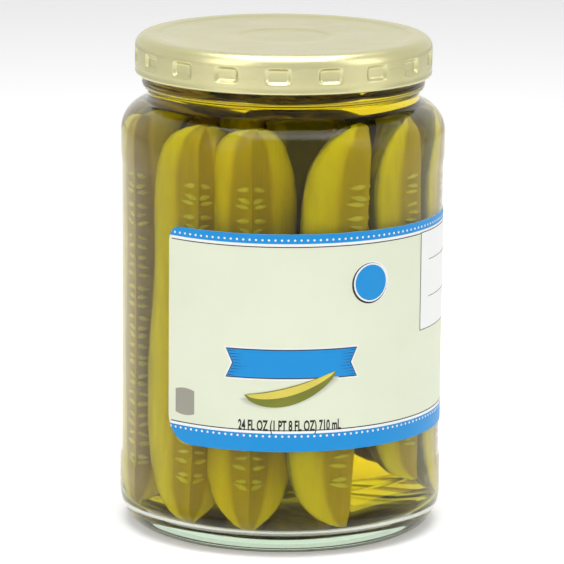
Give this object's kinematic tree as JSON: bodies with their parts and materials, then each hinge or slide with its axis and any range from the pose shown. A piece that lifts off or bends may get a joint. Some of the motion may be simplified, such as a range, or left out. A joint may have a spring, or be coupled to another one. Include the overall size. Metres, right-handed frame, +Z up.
{
  "type": "pickle jar",
  "caption": "Round clear glass jar of pickled cucumber spears in brine, with a wrapped paper label and a twist-off metal cap.",
  "frame": {"origin": "centre of the flat ring that the jar stands on", "axes": "+Z up along the jar's axis to the cap, -Y towards the middle of the label's front, +X to the right of that view"},
  "size_m": [0.0922, 0.0922, 0.1407],
  "materials": {
    "clear_glass": "polished clear glass with a faint green tint",
    "brine": "clear yellow-green pickling brine",
    "label_paper": "cream coated paper",
    "gold_metal": "champagne gold lacquered tinplate",
    "label_ink": "flat blue, white, black and grey print on paper",
    "cucumber": "wet translucent cucumber flesh and skin"
  },
  "bodies": {
    "root": {"glass_jar": "clear_glass", "brine": "brine", "label": "label_paper", "lid": "gold_metal"}
  },
  "joints": []
}
